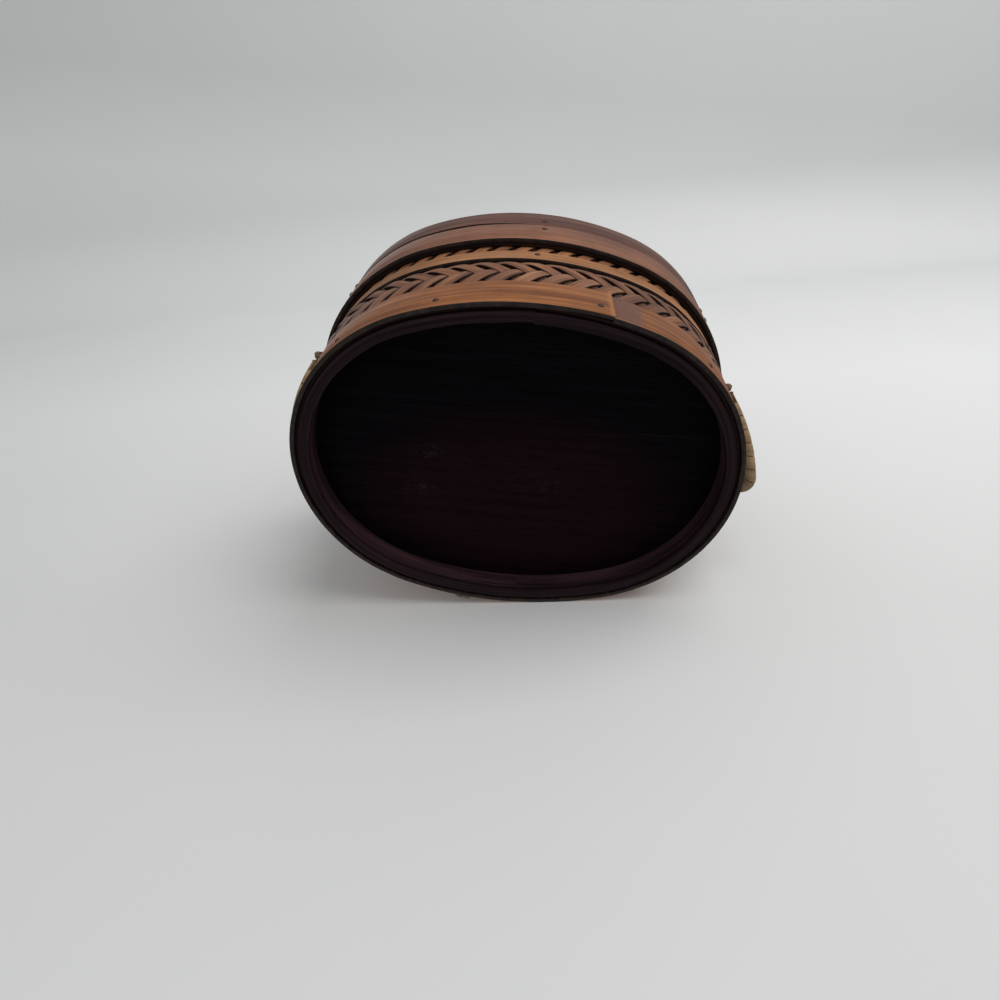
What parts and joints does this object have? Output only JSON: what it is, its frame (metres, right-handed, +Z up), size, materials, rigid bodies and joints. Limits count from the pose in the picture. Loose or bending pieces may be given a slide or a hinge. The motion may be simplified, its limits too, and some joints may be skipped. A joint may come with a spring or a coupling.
{
  "type": "oval wicker trinket box",
  "caption": "Oval lidded keepsake box of bent bamboo hoops and plaited cane bands, with hinged cane-wrapped handles and a hanging front loop.",
  "frame": {"origin": "on the surface the box stands on, under the middle of the oval", "axes": "+Z up, X along the oval's length, the front with the hanging loop towards -Y"},
  "size_m": [0.2401, 0.1739, 0.1093],
  "materials": {
    "maroon_board": "dull stained",
    "foot_wood": "dull stained",
    "dark_bamboo": "dull",
    "honey_bamboo": "satin varnish",
    "plaited_cane": "satin varnish",
    "tan_bamboo": "satin varnish",
    "strap_cane": "satin varnish",
    "pale_cane": "satin",
    "red_bamboo": "satin varnish",
    "grey_bamboo": "satin varnish",
    "woven_bamboo": "satin varnish",
    "iron": "dull"
  },
  "bodies": {
    "box": {"base_board": "maroon_board", "foot_hoop": "foot_wood", "body_wall": "dark_bamboo", "bottom_packing": "dark_bamboo", "bottom_hoop": "honey_bamboo", "lower_braid": "plaited_cane", "mid_packing": "dark_bamboo", "mid_hoop": "tan_bamboo", "upper_braid": "plaited_cane", "neck_hoop": "dark_bamboo", "rim_hoop": "dark_bamboo", "bottom_nails": "iron", "mid_nails": "iron", "left_handle_eyes": "strap_cane", "right_handle_eyes": "strap_cane"},
    "lid": {"lid_skirt": "dark_bamboo", "lid_lower_hoop": "red_bamboo", "lid_upper_hoop": "grey_bamboo", "lid_ledge": "dark_bamboo", "lid_panel": "woven_bamboo", "lid_bead": "red_bamboo", "lid_nails": "iron"},
    "loop_swivel": {"loop_eye": "iron"},
    "loop": {"loop_core": "pale_cane", "loop_wrap": "pale_cane"},
    "left_handle": {"left_handle_core": "pale_cane", "left_handle_wrap": "pale_cane"},
    "right_handle": {"right_handle_core": "pale_cane", "right_handle_wrap": "pale_cane"}
  },
  "joints": [
    {"name": "lid_lift", "type": "slide", "parent": "box", "child": "lid", "axis": [0, 0, 1], "range_m": [0, 0.12]},
    {"name": "loop_turn", "type": "hinge", "parent": "lid", "child": "loop_swivel", "pos_m": [0, -0.08683, 0.0782], "axis": [0, 1, 0], "range_deg": [-15, 45]},
    {"name": "loop_raise", "type": "hinge", "parent": "loop_swivel", "child": "loop", "pos_m": [0, -0.08683, 0.0782], "axis": [-0.9511, 0, -0.309], "range_deg": [0, 110]},
    {"name": "left_handle_swing", "type": "hinge", "parent": "box", "child": "left_handle", "pos_m": [0.1004, 0, 0.0551], "axis": [0, -1, 0], "range_deg": [-20, 100]},
    {"name": "right_handle_swing", "type": "hinge", "parent": "box", "child": "right_handle", "pos_m": [-0.1004, 0, 0.0551], "axis": [0, 1, 0], "range_deg": [-42, 80]}
  ]
}
